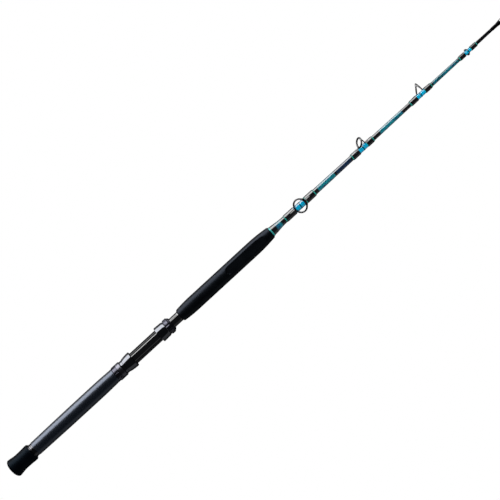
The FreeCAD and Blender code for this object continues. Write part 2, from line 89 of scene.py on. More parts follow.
# --- Materials -------------------------------------------------------------------------
class Look:
    """A Principled material with helpers for the nodes that feed it."""

    def __init__(self, name, **sockets):
        self.material = bpy.data.materials.new(name)
        self.material.use_nodes = True
        self.tree = self.material.node_tree
        self.shader = self.tree.nodes["Principled BSDF"]
        for key, value in sockets.items():
            self.shader.inputs[key.replace("_", " ")].default_value = value
        self.place = self.add("ShaderNodeTexCoord").outputs["Object"]

    @classmethod
    def wrap(cls, material):
        """The helpers for a material that is already made."""
        look = cls.__new__(cls)
        look.material = material
        look.tree = material.node_tree
        look.shader = look.tree.nodes["Principled BSDF"]
        look.place = look.add("ShaderNodeTexCoord").outputs["Object"]
        return look

    def add(self, kind, **settings):
        node = self.tree.nodes.new(kind)
        for key, value in settings.items():
            setattr(node, key, value)
        return node

    def feed(self, node, **inputs):
        for key, value in inputs.items():
            by_number = key[1:].isdigit()
            socket = node.inputs[int(key[1:]) if by_number else key.replace("_", " ")]
            if isinstance(value, bpy.types.NodeSocket):
                self.tree.links.new(value, socket)
            else:
                socket.default_value = value
        return node

    def stretch(self, x, y, z):
        """Object coordinates scaled per axis."""
        node = self.add("ShaderNodeMapping")
        node.inputs["Scale"].default_value = (x, y, z)
        self.tree.links.new(self.place, node.inputs["Vector"])
        return node.outputs["Vector"]

    def noise(self, scale, detail=3.0, roughness=0.5, vector=None, distortion=0.0):
        node = self.add("ShaderNodeTexNoise")
        self.feed(node, Vector=vector or self.place, Scale=scale, Detail=detail,
                  Roughness=roughness, Distortion=distortion)
        return node.outputs["Fac"]

    def span(self, value, low, high, to_low=0.0, to_high=1.0, smooth=False):
        node = self.add("ShaderNodeMapRange")
        node.interpolation_type = "SMOOTHSTEP" if smooth else "LINEAR"
        self.feed(node, _0=value, _1=low, _2=high, _3=to_low, _4=to_high)
        return node.outputs["Result"]

    def math(self, operation, a, b=0.0):
        node = self.add("ShaderNodeMath", operation=operation)
        self.feed(node, _0=a, _1=b)
        return node.outputs[0]

    def between(self, value, start, full, fading, end):
        """0 outside start and end, 1 between full and fading."""
        rise = self.span(value, start, full)
        return self.math("MULTIPLY", rise, self.span(value, fading, end, 1.0, 0.0))

    def mix(self, fac, a, b):
        node = self.add("ShaderNodeMix", data_type="RGBA")
        self.feed(node, _0=fac, _6=a, _7=b)
        return node.outputs[2]

    def blotched(self, value, dark, light, low=0.3, high=0.7):
        """Colour that wanders between dark and light with a noise."""
        return self.mix(self.span(value, low, high), colour(*dark), colour(*light))

    def axis(self, name):
        node = self.add("ShaderNodeSeparateXYZ")
        self.tree.links.new(self.place, node.inputs[0])
        return node.outputs[name]

    def station(self):
        """Station along the rod, in mm from the butt end."""
        return self.math("DIVIDE", self.math("SUBTRACT", self.axis("X"), BUTT), MM)

    def wave(self, pitch):
        """Sine along the rod with a pitch in metres."""
        return self.math("SINE", self.math("MULTIPLY", self.axis("X"), 2 * math.pi / pitch))

    def source(self, socket):
        """What feeds one of the shader's sockets."""
        return self.shader.inputs[socket].links[0].from_socket

    def bump(self, height, distance, strength=1.0, under=None):
        node = self.add("ShaderNodeBump")
        self.feed(node, Height=height, Distance=distance, Strength=strength)
        if under is not None:
            self.tree.links.new(under, node.inputs["Normal"])
        return node.outputs["Normal"]

    def set(self, **sockets):
        self.feed(self.shader, **sockets)
        return self


def colour(r, g, b):
    return (r, g, b, 1.0)


WEAVE_PITCH = 0.0011       # metres
THREAD_PITCH = 0.00032
COAT_THINS = (1050.0, 1250.0, 0.45)     # stations between which the coat thins, and to what
POLISHED_FROM = (432.0, 436.0)          # the seat's threaded end
# Stations of the union nut's front band that carries a painted highlight.
NUT_PAINTED_HIGHLIGHT = (303.0, 303.6, 314.0, 315.0)
BLACK_TIP = (1330.0, 1332.0)


def rubber():
    m = Look("cap_rubber", Specular_IOR_Level=0.04, Specular_Tint=colour(0.4, 0.68, 1.0))
    cloudy = m.noise(60.0, 4.0)
    dust = m.noise(420.0, 5.0, 0.6)
    m.set(Base_Color=m.blotched(cloudy, (0.0003, 0.0004, 0.0008), (0.0006, 0.0008, 0.0014), 0.35),
          Roughness=m.span(dust, 0.3, 0.7, 0.36, 0.46))
    fine = m.bump(m.noise(2600.0, 2.0), 0.00004, 0.5)
    m.set(Normal=m.bump(cloudy, 0.0001, 0.3, fine))
    return m.material


def grip_skin():
    m = Look("grip_skin", Specular_IOR_Level=0.62, Specular_Tint=colour(0.7, 0.79, 1.0))
    cloudy = m.noise(1.0, 4.0, 0.55, m.stretch(40.0, 130.0, 130.0))
    m.set(Base_Color=m.blotched(cloudy, (0.0008, 0.0014, 0.0024), (0.0016, 0.0024, 0.004)),
          Roughness=m.span(m.noise(220.0, 4.0), 0.3, 0.7, 0.29, 0.33))
    rings = m.bump(m.wave(WEAVE_PITCH), 0.00001, 0.35)
    m.set(Normal=m.bump(cloudy, 0.00025, 0.3, rings))
    return m.material


def foam():
    m = Look("foam", Specular_IOR_Level=0.11, Specular_Tint=colour(0.62, 0.74, 1.0))
    cell = m.add("ShaderNodeTexVoronoi", feature="F1")
    m.feed(cell, Vector=m.place, Scale=1500.0)
    cells = cell.outputs["Distance"]
    cloudy = m.noise(70.0, 5.0, 0.6)
    m.set(Base_Color=m.blotched(cloudy, (0.0003, 0.0004, 0.0006), (0.0008, 0.001, 0.0013)),
          Roughness=m.span(m.noise(260.0, 4.0), 0.3, 0.7, 0.33, 0.42))
    fine = m.bump(m.noise(3200.0, 3.0), 0.00003, 0.5)
    pits = m.bump(cells, 0.00004, 0.4, fine)
    m.set(Normal=m.bump(cloudy, 0.0002, 0.25, pits))
    return m.material


def anodised(name, dark, light, rough=(0.16, 0.3), metallic=1.0):
    """Turned and anodised metal: fine turning lines, faint scuffs, some variation."""
    m = Look(name, Metallic=metallic)
    lines = m.noise(1.0, 3.0, 0.6, m.stretch(5200.0, 60.0, 60.0))
    scuffs = m.noise(1.0, 4.0, 0.65, m.stretch(500.0, 900.0, 900.0))
    cloudy = m.noise(90.0, 3.0)
    m.set(Base_Color=m.blotched(cloudy, dark, light), Roughness=m.span(scuffs, 0.35, 0.75, *rough))
    m.set(Normal=m.bump(scuffs, 0.000004, 0.3, m.bump(lines, 0.000003, 0.5)))
    return m.material


def gloss(name, dark, light, lines=0.0, weight=1.0):
    """Coloured surface under a level clear coat. lines is the pitch in metres of thread in it;
    thread colour then carries painted shade in its grooves.
    """
    m = Look(name, Coat_Roughness=0.05, Coat_IOR=1.65, Specular_IOR_Level=0.0, Roughness=0.6)
    cloudy = m.noise(110.0, 4.0, 0.6)
    level = m.bump(m.noise(1.0, 3.0, 0.5, m.stretch(90.0, 120.0, 120.0)), 0.00004, 0.3)
    if lines:
        ridge = m.wave(lines)
        # Thread colour darker in the grooves and lighter on the crests: painted shade and painted
        # highlight.
        painted_groove_shade = m.blotched(ridge, [c * 0.72 for c in dark], light, -1.0, 1.0)
        m.set(Base_Color=m.mix(m.span(cloudy, 0.2, 0.8), painted_groove_shade, colour(*light)))
        m.set(Normal=m.bump(ridge, 0.00003, 0.7))
        level = m.bump(ridge, 0.000003, 0.3, level)
    else:
        m.set(Base_Color=m.blotched(cloudy, dark, light))
    first, last, left = COAT_THINS
    m.set(Coat_Normal=level, Coat_Weight=m.span(m.station(), first, last, weight, weight * left))
    return m


def dull(name, dark, light, rough=0.55):
    """Plain moulded or foamed material."""
    m = Look(name, Specular_IOR_Level=0.3)
    m.set(Base_Color=m.blotched(m.noise(140.0, 4.0, 0.6), dark, light),
          Roughness=m.span(m.noise(600.0, 3.0), 0.3, 0.7, rough - 0.08, rough + 0.08))
    m.set(Normal=m.bump(m.noise(1500.0, 3.0), 0.00003, 0.4))
    return m.material


def seat_plastic():
    """Moulded graphite with fine specks; its thin threaded end is polished."""
    m = gloss("seat_plastic", (0.0015, 0.0015, 0.0018), (0.003, 0.003, 0.0035))
    polish = m.span(m.station(), *POLISHED_FROM)
    grain = m.noise(1.0, 2.0, 0.5, m.stretch(1500.0, 1500.0, 1500.0))
    specks = m.span(grain, 0.35, 0.65, 0.2, 0.36, True)
    m.set(Coat_Weight=m.math("MAXIMUM", polish, specks))
    return m.material


def satin_gunmetal():
    """Blasted and anodised metal; the front band of the union nut is painted lighter, a painted
    highlight.
    """
    m = Look.wrap(anodised(
        "satin_gunmetal", (0.036, 0.036, 0.045), (0.046, 0.046, 0.058), (0.26, 0.36)))
    along = m.station()
    # Lighter colour on the union nut's front band: painted highlight.
    front = m.between(along, *NUT_PAINTED_HIGHLIGHT)
    m.set(Base_Color=m.mix(front, m.source("Base Color"), colour(0.075, 0.075, 0.088)))
    return m.material


def guide_steel():
    """Smoked chrome, blackened at the tip-top."""
    m = Look.wrap(anodised(
        "guide_steel", (0.055, 0.055, 0.058), (0.085, 0.085, 0.088), (0.1, 0.18)))
    black = m.span(m.station(), *BLACK_TIP)
    m.set(Base_Color=m.mix(black, m.source("Base Color"), colour(0.0015, 0.0015, 0.0018)))
    m.set(Roughness=m.math("MAXIMUM", m.source("Roughness"), m.math("MULTIPLY", black, 0.4)))
    return m.material


def metal(name, dark, light, rough, metallic=1.0):
    return name, anodised(name, dark, light, rough, metallic)


def moulded(name, dark, light, *rest):
    return name, dull(name, dark, light, *rest)


def coated(name, dark, light, *rest):
    return name, gloss(name, dark, light, *rest).material


LOOKS = dict([
    ("cap_rubber", rubber()),
    ("grip_skin", grip_skin()),
    ("foam", foam()),
    ("seat_plastic", seat_plastic()),
    ("satin_gunmetal", satin_gunmetal()),
    ("guide_steel", guide_steel()),
    metal("black_aluminium", (0.05, 0.05, 0.054), (0.07, 0.07, 0.076), (0.1, 0.2)),
    metal("gunmetal", (0.068, 0.07, 0.078), (0.082, 0.085, 0.093), (0.08, 0.14)),
    metal("plain_aluminium", (0.55, 0.56, 0.58), (0.66, 0.67, 0.69), (0.22, 0.4)),
    metal("steel", (0.5, 0.5, 0.5), (0.6, 0.6, 0.6), (0.2, 0.35)),
    metal("teal_aluminium", (0.01, 0.2, 0.19), (0.02, 0.26, 0.25), (0.3, 0.4), 0.25),
    moulded("liner_plastic", (0.012, 0.012, 0.013), (0.02, 0.02, 0.022)),
    moulded("arbor_foam", (0.4, 0.37, 0.3), (0.5, 0.47, 0.4), 0.8),
    coated("pad_plastic", (0.001, 0.001, 0.0012), (0.002, 0.002, 0.0024)),
    coated("ceramic", (0.006, 0.006, 0.007), (0.011, 0.011, 0.012)),
    coated("blue_thread", (0.0, 0.23, 0.4), (0.0, 0.3, 0.5), THREAD_PITCH, 0.9),
    coated("black_thread", (0.0015, 0.0015, 0.002), (0.003, 0.003, 0.004), THREAD_PITCH),
    coated("teal_thread", (0.008, 0.17, 0.145), (0.012, 0.24, 0.2), THREAD_PITCH, 0.35),
    coated("dark_thread", (0.0, 0.02, 0.035), (0.0, 0.03, 0.05), THREAD_PITCH),
])

# Marbled bands under the clear coat: first and last station, strength, width of the soft ends.
MARBLED = (
    (736.5, 755.0, 1.0, 6.0),
    (853.0, 901.0, 1.0, 2.5),
    (904.0, 946.0, 0.7, 2.5),
    (1025.0, 1089.0, 1.0, 2.5),
    (1173.0, 1245.0, 0.85, 2.5),
)
NAVY_BAND = (902.0, 903.0, 947.0, 948.0)
CONE_FOOT = (742.0, 751.0, -0.1)     # bluer at the cone's foot
BARE_TIP = 1296.0     # the coat ends here


def blank_gloss():
    m = gloss("blank_gloss", (0.002, 0.002, 0.003), (0.004, 0.004, 0.005))
    along = m.station()
    veins = m.noise(1.0, 5.0, 0.62, m.stretch(95.0, 260.0, 260.0), 1.6)
    swirl = m.noise(1.0, 3.0, 0.5, m.stretch(60.0, 150.0, 150.0), 2.5)
    first, last, shift = CONE_FOOT
    swirl = m.math("ADD", swirl, m.span(along, first, last, shift, 0.0))
    ink = m.blotched(swirl, (0.004, 0.04, 0.12), (0.003, 0.14, 0.17), 0.36, 0.5)
    navy = m.between(along, *NAVY_BAND)
    ink = m.mix(navy, ink, colour(0.003, 0.02, 0.06))
    cover = 0.0
    for first, last, strength, soft in MARBLED:
        rise = m.span(along, first, first + soft, 0.0, strength, True)
        fall = m.span(along, last - soft, last, 1.0, 0.0, True)
        cover = m.math("ADD", m.math("MULTIPLY", rise, fall), cover)
    cover = m.math("MULTIPLY", cover, m.span(veins, 0.36, 0.5, 0.0, 1.0, True))
    m.set(Base_Color=m.mix(cover, m.source("Base Color"), ink))
    bare = m.span(along, BARE_TIP - 1.0, BARE_TIP + 1.0, 1.0, 0.02, True)
    m.set(Coat_Weight=m.math("MULTIPLY", m.source("Coat Weight"), bare))
    return m.material


LOOKS["blank_gloss"] = blank_gloss()
LOOKS["cone_gloss"] = LOOKS["blank_gloss"]

SLOTS = {s["node"]: s["material_slot"] for s in frame["record"]["subparts"]}
for node, obj in frame["nodes"].items():
    obj.data.materials.clear()
    obj.data.materials.append(LOOKS[SLOTS[node]])


# --- Mesh helpers ----------------------------------------------------------------------
def rounded(corners, steps=4):
    """Outline with eased corners. A corner is (station, radius) or (station, radius, ease)."""
    out = []
    count = len(corners)
    for i, corner in enumerate(corners):
        here = Vector(corner[:2])
        ease = corner[2] if len(corner) > 2 else 0.0
        before = Vector(corners[i - 1][:2]) - here
        after = Vector(corners[(i + 1) % count][:2]) - here
        if not ease:
            out.append(tuple(here))
            continue
        a = here + before.normalized() * min(ease, before.length * 0.49)
        b = here + after.normalized() * min(ease, after.length * 0.49)
        for k in range(steps + 1):
            t = k / steps
            out.append(tuple(a * (1 - t) ** 2 + here * 2 * t * (1 - t) + b * t * t))
    return out


def steps(first, last, gap):
    """Stations from first to last, about gap apart."""
    count = max(1, round(abs(last - first) / gap))
    return [first + (last - first) * i / count for i in range(count + 1)]


def smooth(t):
    """0 below 0, 1 above 1 and an easy curve between."""
    t = min(max(t, 0.0), 1.0)
    return t * t * (3 - 2 * t)


def fade(s, first, last, width):
    """1 between first and last, falling smoothly to 0 over width outside them."""
    return smooth(min(s - first, last - s) / width + 1.0)


def arc(p, q, r, count=16):
    """Points of the circle through three (station, radius) pairs, from the first to the last."""
    (ax, ay), (bx, by), (cx, cy) = p, q, r
    d = 2 * (ax * (by - cy) + bx * (cy - ay) + cx * (ay - by))
    a2, b2, c2 = ax * ax + ay * ay, bx * bx + by * by, cx * cx + cy * cy
    ux = (a2 * (by - cy) + b2 * (cy - ay) + c2 * (ay - by)) / d
    uy = (a2 * (cx - bx) + b2 * (ax - cx) + c2 * (bx - ax)) / d
    radius = math.hypot(ax - ux, ay - uy)
    turn = [math.atan2(y - uy, x - ux) for x, y in (p, q, r)]
    span = (turn[2] - turn[0]) % (2 * math.pi)
    if (turn[1] - turn[0]) % (2 * math.pi) > span:
        span -= 2 * math.pi
    angles = [turn[0] + span * i / count for i in range(count + 1)]
    return [(ux + radius * math.cos(a), uy + radius * math.sin(a)) for a in angles]


def local(x, y, z, turn):
    """Point x along the rod, z out from its axis and y across, turned around the rod; all in mm."""
    a = math.radians(turn)
    return Vector((BUTT + x * MM, AXIS_Y + (y * math.cos(a) - z * math.sin(a)) * MM,
                   AXIS_Z + (y * math.sin(a) + z * math.cos(a)) * MM))


class Shell:
    """Closed surfaces gathered into one mesh."""

    def __init__(self):
        self.points = []
        self.faces = []

    def turned(self, outline, around=128, shape=None):
        """Surface turned about the rod's axis from a closed outline of (station, radius).

        shape(s, r, angle) may change a point's radius. A radius of 0 is one point on the axis.
        """
        rows = []
        for s, r in outline:
            if r < 1e-6:
                rows.append([len(self.points)] * around)
                self.points.append(spot(s, 0, 0))
                continue
            rows.append(range(len(self.points), len(self.points) + around))
            for k in range(around):
                a = 2 * math.pi * k / around
                self.points.append(spot(s, shape(s, r, a) if shape else r, a))
        for one, two in zip(rows, rows[1:] + [rows[0]]):
            for k in range(around):
                n = (k + 1) % around
                corners = [one[k], one[n], two[n], two[k]]
                ring = [c for i, c in enumerate(corners) if c != corners[i - 1]]
                if len(ring) >= 3:
                    self.faces.append(ring)
        return self

    def skin(self, rows, closed=False):
        """Surface over rows of points, closed on itself or capped at both ends."""
        start = len(self.points)
        count = len(rows[0])
        for row in rows:
            self.points.extend(row)
        ends = list(range(1, len(rows))) + ([0] if closed else [])
        for i, j in enumerate(ends):
            for k in range(count):
                n = (k + 1) % count
                one = start + i * count
                two = start + j * count
                self.faces.append([one + k, one + n, two + n, two + k])
        if not closed:
            last = start + (len(rows) - 1) * count
            self.faces.append([start + k for k in range(count)])
            self.faces.append([last + k for k in range(count)])
        return self

    def piece(self, name, body, node, sharp=35.0):
        """Object that stands for a CAD node and rides on its body."""
        mesh = bpy.data.meshes.new(name)
        mesh.from_pydata(self.points, [], self.faces)
        mesh.validate()
        work = bmesh.new()
        work.from_mesh(mesh)
        bmesh.ops.recalc_face_normals(work, faces=work.faces)
        work.to_mesh(mesh)
        work.free()
        mesh.shade_smooth()
        mesh.set_sharp_from_angle(angle=math.radians(sharp))
        obj = bpy.data.objects.new(name, mesh)
        bpy.context.scene.collection.objects.link(obj)
        mesh.materials.append(LOOKS[SLOTS[node]])
        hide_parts(node)
        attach(obj, body)
        return obj


def turned(name, outline, body, node, around=128, shape=None, sharp=35.0):
    return Shell().turned(outline, around, shape).piece(name, body, node, sharp)


# --- Camera, floor and light -----------------------------------------------------------
LOOK_AT = (667.4, 2.3)          # station and side, in mm
PICTURE_WIDTH = 500 * 2.05      # mm across the frame
ROLL = math.radians(-42.58)
FLOOR_GAP = 0.002               # metres under the rod
FLOOR_HALF = 12.0
LIGHT_AWAY = 1.5                # metres from the rod to each panel
LIGHT_LONG = 3.6
LIGHTS = (      # name, first and last angle from overhead, side, radiance, what it lights
    ("soft_box", 47.0, 100.0, 1, 8.5, "glossy"),
    ("low_bounce", 100.0, 140.0, 1, 0.5, "glossy"),
    ("fill", 62.0, 110.0, -1, 0.32, "glossy"),
    ("wash", -35.0, 50.0, 1, 2.6, "diffuse"),
)


def studio():
    scene = bpy.context.scene
    scene.view_settings.view_transform = "Standard"
    look_at = Vector((BUTT + LOOK_AT[0] * MM, AXIS_Y + LOOK_AT[1] * MM, AXIS_Z))
    data = bpy.data.cameras.new("camera")
    data.lens = 90.0
    data.sensor_width = 36.0
    data.clip_end = 40.0
    camera = bpy.data.objects.new("camera", data)
    scene.collection.objects.link(camera)
    width = PICTURE_WIDTH * MM
    camera.location = look_at + Vector((0, 0, width * data.lens / data.sensor_width))
    camera.rotation_euler = (0, 0, ROLL)
    scene.camera = camera

    mesh = bpy.data.meshes.new("floor")
    corners = ((-1, -1), (1, -1), (1, 1), (-1, 1))
    mesh.from_pydata([(x * FLOOR_HALF, y * FLOOR_HALF, cad_lo.z - FLOOR_GAP) for x, y in corners],
                     [], [(0, 1, 2, 3)])
    floor = bpy.data.objects.new("floor", mesh)
    scene.collection.objects.link(floor)
    pale = bpy.data.materials.new("pale_floor")
    pale.use_nodes = True
    nodes = pale.node_tree.nodes
    nodes.remove(nodes["Principled BSDF"])
    glow = nodes.new("ShaderNodeEmission")
    glow.inputs["Color"].default_value = colour(1, 1, 1)
    glow.inputs["Strength"].default_value = 1.0
    clear = nodes.new("ShaderNodeBsdfTransparent")
    side = nodes.new("ShaderNodeNewGeometry")
    both = nodes.new("ShaderNodeMixShader")
    link = pale.node_tree.links.new
    link(side.outputs["Backfacing"], both.inputs[0])
    link(glow.outputs[0], both.inputs[1])
    link(clear.outputs[0], both.inputs[2])
    link(both.outputs[0], nodes["Material Output"].inputs["Surface"])
    mesh.materials.append(pale)
    floor.visible_diffuse = False
    floor.visible_glossy = False
    floor.visible_shadow = False

    def panel(name, near, far, side, radiance, part):
        """Light panel along the rod that spans two angles from overhead."""
        mid = math.radians((near + far) / 2) * side
        lamp = bpy.data.lights.new(name, "AREA")
        lamp.shape = "RECTANGLE"
        lamp.size = LIGHT_LONG
        lamp.size_y = 2 * LIGHT_AWAY * math.tan(math.radians((far - near) / 2))
        lamp.energy = radiance * math.pi * lamp.size * lamp.size_y
        obj = bpy.data.objects.new(name, lamp)
        obj.location = look_at + Vector((0, LIGHT_AWAY * math.sin(mid), LIGHT_AWAY * math.cos(mid)))
        obj.rotation_euler = (look_at - obj.location).to_track_quat("-Z", "Y").to_euler()
        obj.visible_camera = False
        obj.visible_diffuse = part == "diffuse"
        obj.visible_glossy = part == "glossy"
        scene.collection.objects.link(obj)

    for light in LIGHTS:
        panel(*light)

    world = bpy.data.worlds.new("studio")
    scene.world = world
    world.use_nodes = True
    tree = world.node_tree
    back = tree.nodes["Background"]
    back.inputs["Color"].default_value = colour(0.9, 0.95, 1.0)
    back.inputs["Strength"].default_value = 0.05
    white = tree.nodes.new("ShaderNodeBackground")
    white.inputs["Color"].default_value = colour(1, 1, 1)
    rays = tree.nodes.new("ShaderNodeLightPath")
    both = tree.nodes.new("ShaderNodeMixShader")
    tree.links.new(rays.outputs["Is Camera Ray"], both.inputs[0])
    tree.links.new(back.outputs[0], both.inputs[1])
    tree.links.new(white.outputs[0], both.inputs[2])
    tree.links.new(both.outputs[0], tree.nodes["World Output"].inputs["Surface"])


studio()

# --- Butt section ----------------------------------------------------------------------
GIMBAL_R = 15.05
CAP_FLOOR = 9.5       # inside end of the cap's bore
CAP_MOUTH_R = 18.95
cap0, cap1 = station("butt_cap")
cap_r = reach("butt_cap")

cap_outline = [(cap0, 0.0), (cap0, 7.6), (cap0 + 0.15, 8.2), (cap0 + 0.6, 8.6), (cap0 + 0.6, 10.6),
               (cap0 + 0.2, 11.1), (cap0 + 0.3, 12.2)]
cap_outline += arc((cap0 + 0.3, 12.2), (cap0 + 1.8, 17.0), (8.5, cap_r), 14)[1:]
cap_outline += [(10.5, cap_r), (12.5, cap_r)]
cap_outline += arc((12.5, cap_r), (20.0, 18.95), (31.0, 18.1), 18)[1:]
cap_outline += arc((31.0, 18.1), (43.0, 18.35), (53.0, CAP_MOUTH_R), 18)[1:]
cap_outline += rounded([
    (53.6, CAP_MOUTH_R, 0.2), (53.8, 18.6, 0.2), (54.5, 18.6, 0.2), (54.7, CAP_MOUTH_R, 0.2),
    (cap1 - 2.6, CAP_MOUTH_R, 0.6), (cap1, 17.2, 0.7), (cap1, GIMBAL_R, 0.4),
    (CAP_FLOOR, GIMBAL_R, 0.4)])
cap_outline += [(CAP_FLOOR, 0.0)]
turned("rubber_cap", cap_outline, "cap", "butt_cap", 160)

grip0, grip1 = station("rear_grip_sleeve")
grip_r = reach("rear_grip_sleeve")
GRIP_ENDS = (15.6, 15.45)     # radius at each end
GRIP_MID = (215.0, 238.0)     # the thickest part
GRIP_WALL = 1.0
RIPPLES = (247.0, 282.0)
RIPPLE_PITCH = 4.6
RIPPLE_HIGH = 0.1
LIP_HIGH = 0.18
EDGE = 0.8                    # length of the rounded ends


def grip_line(s):
    """Radius of the grip's level arcs."""
    if s < GRIP_MID[0]:
        t = (GRIP_MID[0] - s) / (GRIP_MID[0] - grip0)
        return grip_r - (grip_r - GRIP_ENDS[0]) * t * t
    t = max(0.0, (s - GRIP_MID[1]) / (grip1 - GRIP_MID[1]))
    return grip_r - (grip_r - GRIP_ENDS[1]) * t * t


def grip_radius(s):
    swing = math.sin(2 * math.pi * (s - RIPPLES[0] + 3.0) / RIPPLE_PITCH)
    ripple = RIPPLE_HIGH * swing * fade(s, *RIPPLES, 6.0)
    lip = LIP_HIGH * fade(s, grip1 - 4.0, grip1, 1.0) + 0.15 * fade(s, grip0, grip0 + 3.0, 1.0)
    edge = max(0.0, 1.0 - min(s - grip0, grip1 - s) / EDGE)
    rounding = 0.6 * (1 - math.sqrt(max(0.0, 1 - edge * edge)))
    return grip_line(s) + ripple + lip - LIP_HIGH - rounding


stations = steps(grip0, grip0 + EDGE, EDGE / 5)[:-1]
stations += steps(grip0 + EDGE, grip1 - EDGE, 0.75)
stations += steps(grip1 - EDGE, grip1, EDGE / 5)[1:]
outer = [(s, grip_radius(s)) for s in stations]
inner = [(s, grip_line(s) - GRIP_WALL) for s in steps(grip1, grip0, 20.0)]
turned("rear_grip_skin", outer + inner, "butt", "rear_grip_sleeve", 128)

nut0, nut1 = station("butt_nut")
nut_r = reach("butt_nut")
NUT_BORE = 13.66
NUT_NECK = 11.06
NUT_STEP = 294.7      # where the bore narrows to the neck
NOTCHES = 8
NOTCH_END = 302.0
NOTCH_HALF = 2.6
NOTCH_DEEP = 1.5
NOTCH_TURN = math.radians(-9.0)


def castellated(s, r, angle):
    """Cuts the notches of the union nut's rear edge into its outer wall."""
    if r < nut_r - 1.2 or s > NOTCH_END + 0.6:
        return r
    turn = ((angle - NOTCH_TURN) * NOTCHES / (2 * math.pi)) % 1.0
    off = min(turn, 1.0 - turn) / NOTCHES * 2 * math.pi * nut_r
    wall = min(max((NOTCH_HALF + 0.2 - off) / 0.4, 0.0), 1.0)
    end = min(max((NOTCH_END + 0.2 - s) / 0.4, 0.0), 1.0)
    return r - NOTCH_DEEP * wall * end


nut_outline = rounded([
    (nut0, NUT_NECK, 0.2), (nut0, nut_r - 1.0, 0.0), (nut0, nut_r - 0.7, 0.3),
    (nut0 + 0.7, nut_r, 0.3)])
nut_outline += [(s, nut_r) for s in steps(nut0 + 1.4, NOTCH_END - 0.6, 0.8)]
nut_outline += [(s, nut_r) for s in steps(NOTCH_END - 0.4, NOTCH_END + 0.4, 0.1)]
nut_outline += rounded([
    (NOTCH_END + 0.8, nut_r, 0.15), (NOTCH_END + 1.0, nut_r - 0.5, 0.15),
    (NOTCH_END + 1.4, nut_r - 0.5, 0.15), (NOTCH_END + 1.6, nut_r, 0.15),
    (nut1 - 1.6, nut_r, 0.9), (nut1, nut_r - 1.7, 0.5), (nut1, NUT_BORE, 0.2),
    (NUT_STEP, NUT_BORE, 0.2), (NUT_STEP, NUT_NECK, 0.2)])
turned("union_nut", nut_outline, "union_nut", "butt_nut", 480, castellated, 30.0)

# --- Locking nut -----------------------------------------------------------------------
lock0, lock1 = station("lock_nut")
LOCK_R = 17.5
LOCK_BORE = 11.15
FLUTES = 10
FLUTE_R = 2.6
FLUTE_DEEP = 0.9
FLUTE_LONG = 7.0      # before its rounded end
FLUTE_TURN = math.radians(-10.0)


def fluted(s, r, angle):
    """Cuts the lock nut's rounded flutes, which end in a ball shape."""
    if r < 13.0:
        return r
    pitch = 2 * math.pi / FLUTES
    off = (angle - FLUTE_TURN + pitch / 2) % pitch - pitch / 2
    along = max(0.0, s - lock0 - FLUTE_LONG)
    if along >= FLUTE_R:
        return r
    cut_r = math.sqrt(FLUTE_R ** 2 - along ** 2)
    middle = LOCK_R + FLUTE_R - FLUTE_DEEP
    across = middle * math.sin(off)
    if abs(across) >= cut_r:
        return r
    low = middle * math.cos(off) - math.sqrt(cut_r ** 2 - across ** 2)
    return min(r, low + 0.12 * math.exp(-((r - low) / 0.3) ** 2))


lock_outline = rounded([
    (lock0, LOCK_BORE, 0.2), (lock0, LOCK_R - 0.7, 0.3), (lock0 + 0.7, LOCK_R, 0.4)])
lock_outline += [(s, LOCK_R) for s in steps(lock0 + 1.3, lock0 + 8.0, 0.35)]
lock_outline += rounded([
    (lock0 + 8.6, LOCK_R, 0.2), (lock0 + 9.3, LOCK_R - 1.0, 0.3), (lock1 - 1.0, LOCK_R - 4.0, 0.3),
    (lock1, LOCK_R - 5.2, 0.3), (lock1, LOCK_BORE, 0.2)])
turned("fluted_lock_nut", lock_outline, "locking_nut", "lock_nut", 400, fluted, 30.0)

# --- Foregrip, winding check and cone --------------------------------------------------
fore0, fore1 = station("foregrip")
BLANK = ((348.5, 8.2), (762.0, 7.0), (1060.0, 5.15), (1300.0, 3.6), (1361.0, 3.15))
FORE_R = 16.35
FORE_REAR = (510.0, 36.0, 2.05)    # where the rear taper starts, its length and its drop
FORE_FRONT = (672.0, 49.5, 3.2)    # the same for the front taper
FORE_NOSE = 721.5
FACET = (601.0, 706.0)
FACET_HALF = 9.4
FACET_Z = 13.4                     # height of the flat above the axis


def blank_radius(s):
    for (s0, r0), (s1, r1) in zip(BLANK, BLANK[1:]):
        if s <= s1:
            return r0 + (r1 - r0) * (s - s0) / (s1 - s0)
    return BLANK[-1][1]


def fore_shape(s, r, angle):
    """Foregrip's radius with the oblong flat on the reel's side."""
    if r < 11.0 or math.cos(angle) < 0.2:
        return r
    across = r * math.sin(angle)
    inset = max(FACET[0] + FACET_HALF - s, s - FACET[1] + FACET_HALF, 0.0)
    out = math.hypot(inset, across) if inset else abs(across)
    depth = max(0.0, r - FACET_Z / math.cos(angle))
    return r - depth * (smooth((FACET_HALF + 0.5 - out) / 1.6) if inset else 1.0)


outer = arc((fore0, 11.9), (fore0 + 1.2, 13.45), (fore0 + 3.3, 14.3), 8)
for s in steps(475.0, FORE_REAR[0], 1.5):
    t = (FORE_REAR[0] - s) / FORE_REAR[1]
    outer.append((s, FORE_R - FORE_REAR[2] * t * t))
outer += [(s, FORE_R) for s in steps(515.0, 595.0, 8.0) + steps(596.0, 670.0, 1.0)]
for s in steps(671.0, FORE_NOSE, 1.0):
    t = max(0.0, (s - FORE_FRONT[0]) / FORE_FRONT[1])
    outer.append((s, FORE_R - FORE_FRONT[2] * t * t))
outer += arc((FORE_NOSE, 13.15), (723.2, 12.5), (fore1, 11.4), 6)[1:]
inner = [(s, blank_radius(s)) for s in steps(fore1, fore0, 40.0)]
fore = turned("foregrip_foam", outer + inner, "rod", "foregrip", 192, fore_shape)

check0, check1 = station("winding_check")
CHECK_R = 11.1
CHECK_BORE = 7.2
turned("winding_ring", rounded([
    (check0, CHECK_BORE), (check0, CHECK_R, 0.2), (check0 + 1.2, CHECK_R, 0.3),
    (check0 + 1.4, 10.8, 0.15), (check0 + 1.8, 10.8, 0.15), (check0 + 2.0, 10.9, 0.15),
    (check1, 10.5, 0.4), (check1, CHECK_BORE)]), "rod", "winding_check")

